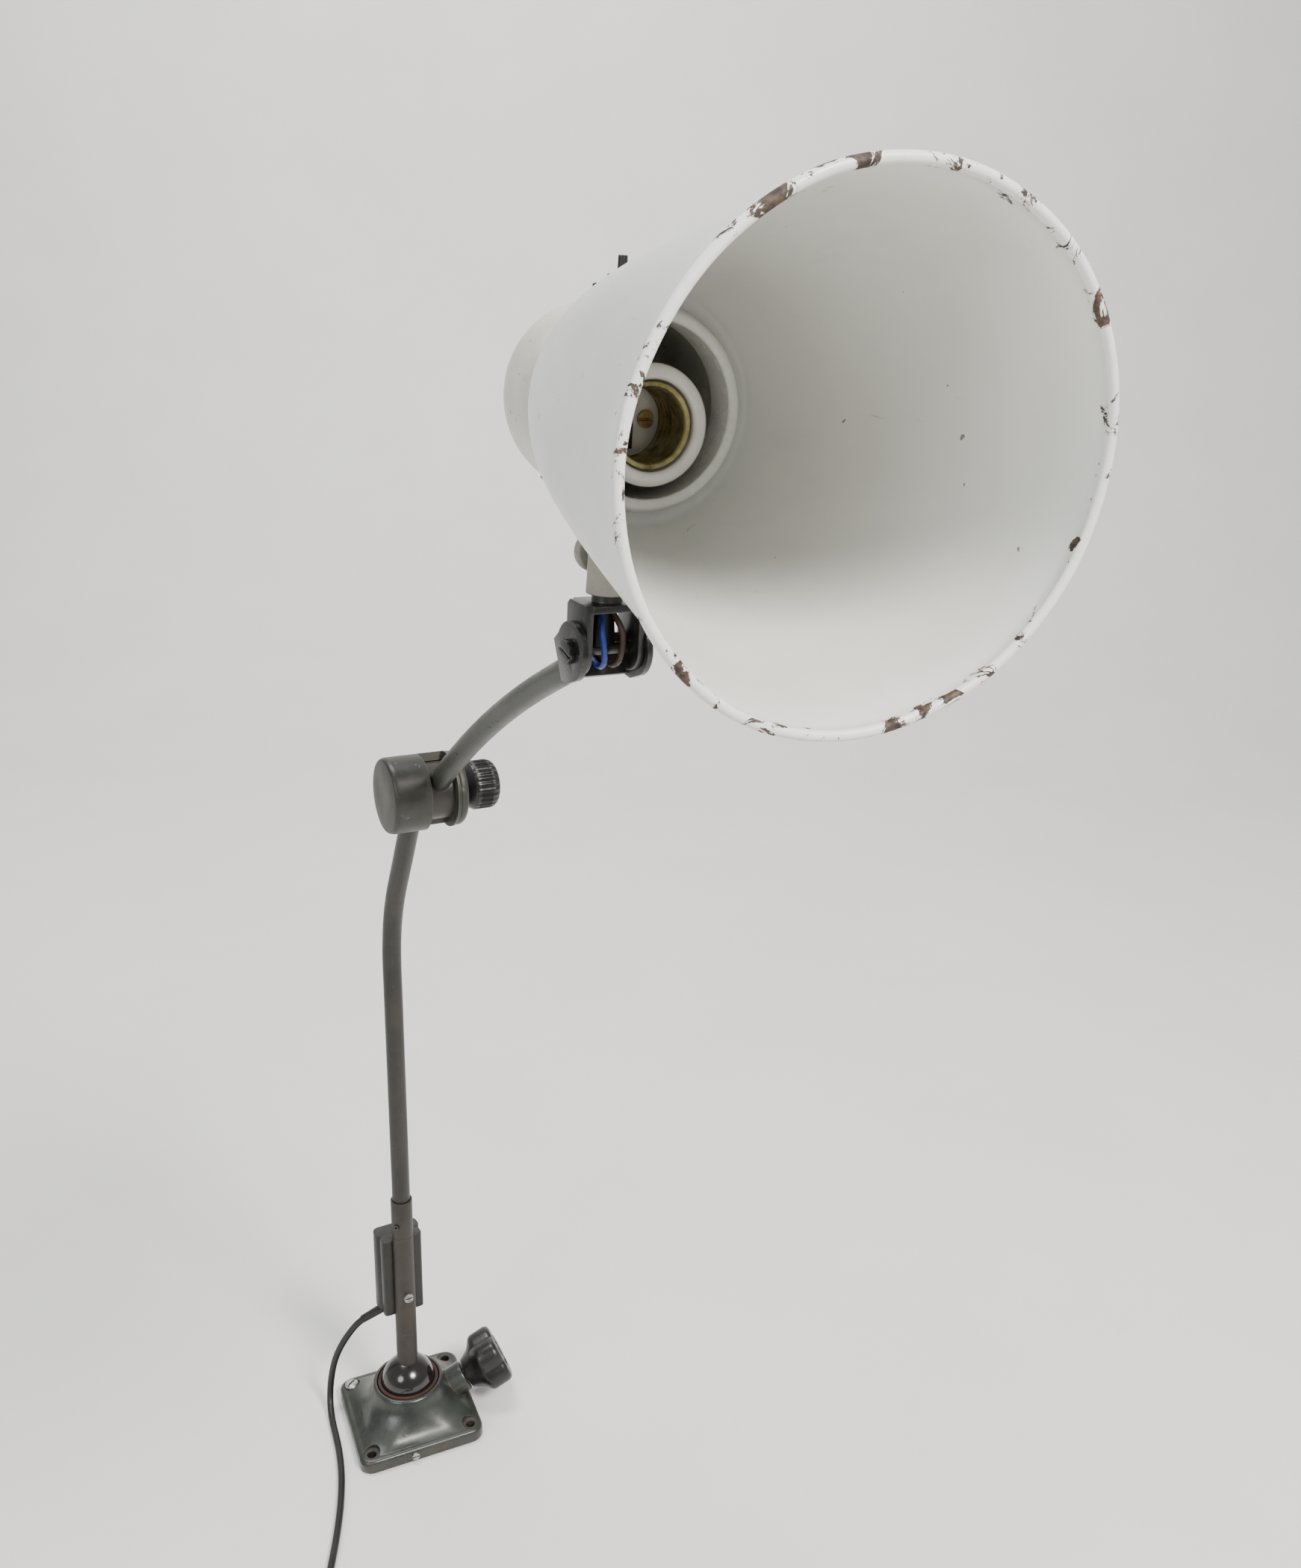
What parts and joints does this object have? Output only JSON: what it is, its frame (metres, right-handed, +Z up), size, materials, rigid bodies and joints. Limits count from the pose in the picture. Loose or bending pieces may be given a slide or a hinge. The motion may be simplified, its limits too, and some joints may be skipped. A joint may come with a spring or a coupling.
{
  "type": "swing arm desk lamp",
  "caption": "Jointed swing arm desk lamp: square cast base with clamped ball joint, bent tube arms, drum elbow, clevis and bell shade with screw lamp socket.",
  "frame": {"origin": "centre of the four fixing holes on the base's underside", "axes": "+Z up, out of the desk, -Y towards the lamp's mouth, +X to the base's clamp knob"},
  "size_m": [0.2292, 0.5132, 0.7662],
  "materials": {
    "base_enamel": "satin, worn stove enamel with brown rust at the edges",
    "bright_screw": "worn zinc plate",
    "brass": "tarnished",
    "bakelite": "satin, dusty",
    "plain_steel": "machined, dull",
    "fibre": "red fibre, matt",
    "ball_black": "dark, glossy",
    "stem_brown": "worn black paint over brown rust",
    "box_black": "satin bakelite",
    "ceramic": "glazed porcelain",
    "cord_black": "matt",
    "arm_dark": "worn dark enamel with rust patches",
    "arm_green": "satin greenish grey, scuffed",
    "drum_green": "worn greenish grey enamel, grimy",
    "washer_fibre": "brown fibre",
    "clevis_black": "black satin",
    "wire_blue": "satin",
    "wire_brown": "satin",
    "bracket_grey": "olive brown grey, worn",
    "housing_cream": "satin cream grey, chipped",
    "shade_white": "satin white enamel, chipped dark brown at the rim",
    "ring_white": "glossy white enamel",
    "carrier_zinc": "dull zinc plate",
    "shell_brass": "olive tarnish",
    "contact_dark": "dark",
    "switch_black": "satin black"
  },
  "bodies": {
    "base": {"base_casting": "base_enamel", "earth_screw": "bright_screw", "clamp_pad": "brass", "cord_lay": "cord_black", "cord_coil": "cord_black", "cord_tail": "cord_black", "cord_tie": "cord_black", "plug_body": "cord_black", "plug_pins": "bright_screw"},
    "base_knob": {"base_knob": "bakelite", "base_knob_stud": "plain_steel"},
    "ball_seat": {"ball_seat": "fibre"},
    "stem": {"swivel_ball": "ball_black", "stem_sleeve": "stem_brown", "sleeve_collar": "stem_brown", "arm_set_screw": "clevis_black", "box_saddle": "box_black", "box_cover": "box_black", "box_screw": "bright_screw", "terminal_block": "ceramic", "terminal_screws": "brass", "cord_relief": "cord_black", "cord_drop": "cord_black"},
    "lower_arm": {"lower_arm_tube": "arm_dark", "elbow_housing": "drum_green", "elbow_end_ring": "drum_green", "elbow_washers": "washer_fibre", "elbow_stud": "plain_steel"},
    "elbow_knob": {"elbow_knob": "bakelite"},
    "upper_arm": {"elbow_hub": "arm_dark", "upper_arm_tube": "arm_green", "arm_fork": "clevis_black", "pivot_screw": "clevis_black", "pivot_nut": "clevis_black"},
    "yoke": {"head_yoke": "clevis_black", "swivel_stud": "plain_steel", "clevis_wire_blue": "wire_blue", "clevis_wire_brown": "wire_brown"},
    "head": {"head_bracket": "bracket_grey", "bracket_screws": "bright_screw", "lamp_housing": "housing_cream", "shade": "shade_white", "retaining_ring": "ring_white", "socket_carrier": "carrier_zinc", "socket_porcelain": "ceramic", "thread_shell": "shell_brass", "centre_contact": "contact_dark", "contact_screws": "brass", "switch_body": "switch_black", "switch_washer": "bright_screw", "switch_ring_nut": "switch_black"},
    "thumb_screw": {"thumb_screw": "bracket_grey"},
    "switch_key": {"switch_key": "switch_black"}
  },
  "joints": [
    {"name": "ball_swivel", "type": "hinge", "parent": "base", "child": "ball_seat", "pos_m": [0, 0, 0.0315], "axis": [0, 0, 1], "range_deg": [-60, 60]},
    {"name": "stem_tilt", "type": "hinge", "parent": "ball_seat", "child": "stem", "pos_m": [0, 0, 0.0315], "axis": [0.9952, 0.0976, 0], "range_deg": [-25, 25], "deforming": ["cord_drop"]},
    {"name": "arm_swivel", "type": "hinge", "parent": "stem", "child": "lower_arm", "pos_m": [0.00325, 0.00032, 0.16496], "axis": [0.0243, 0.0024, 0.9997], "range_deg": [-150, 150]},
    {"name": "elbow", "type": "hinge", "parent": "lower_arm", "child": "upper_arm", "pos_m": [0.01671, -0.05722, 0.48348], "axis": [-0.9949, -0.0976, 0.0244], "range_deg": [-60, 40]},
    {"name": "head_tilt", "type": "hinge", "parent": "upper_arm", "child": "yoke", "pos_m": [0.05031, -0.26926, 0.60403], "axis": [0.9949, 0.0976, -0.0244], "range_deg": [-24, 80], "deforming": ["clevis_wire_blue", "clevis_wire_brown"]},
    {"name": "head_swivel", "type": "hinge", "parent": "yoke", "child": "head", "pos_m": [0.05124, -0.27127, 0.63394], "axis": [0.0311, -0.067, 0.9973], "range_deg": [-120, 120]},
    {"name": "base_knob_turn", "type": "hinge", "parent": "base", "child": "base_knob", "pos_m": [0.057, 0, 0.027], "axis": [0.9272, 0, 0.3746], "range_deg": [-180, 180]},
    {"name": "elbow_knob_turn", "type": "hinge", "parent": "lower_arm", "child": "elbow_knob", "pos_m": [0.05452, -0.05351, 0.48255], "axis": [0.9949, 0.0976, -0.0244], "range_deg": [-180, 180]},
    {"name": "thumb_screw_turn", "type": "hinge", "parent": "head", "child": "thumb_screw", "pos_m": [0.05146, -0.25578, 0.642], "axis": [0.0002, 0.9977, 0.0671], "range_deg": [-180, 180]},
    {"name": "switch_turn", "type": "hinge", "parent": "head", "child": "switch_key", "pos_m": [0.05473, -0.27981, 0.74597], "axis": [0.0311, -0.067, 0.9973], "range_deg": [-90, 90]}
  ]
}
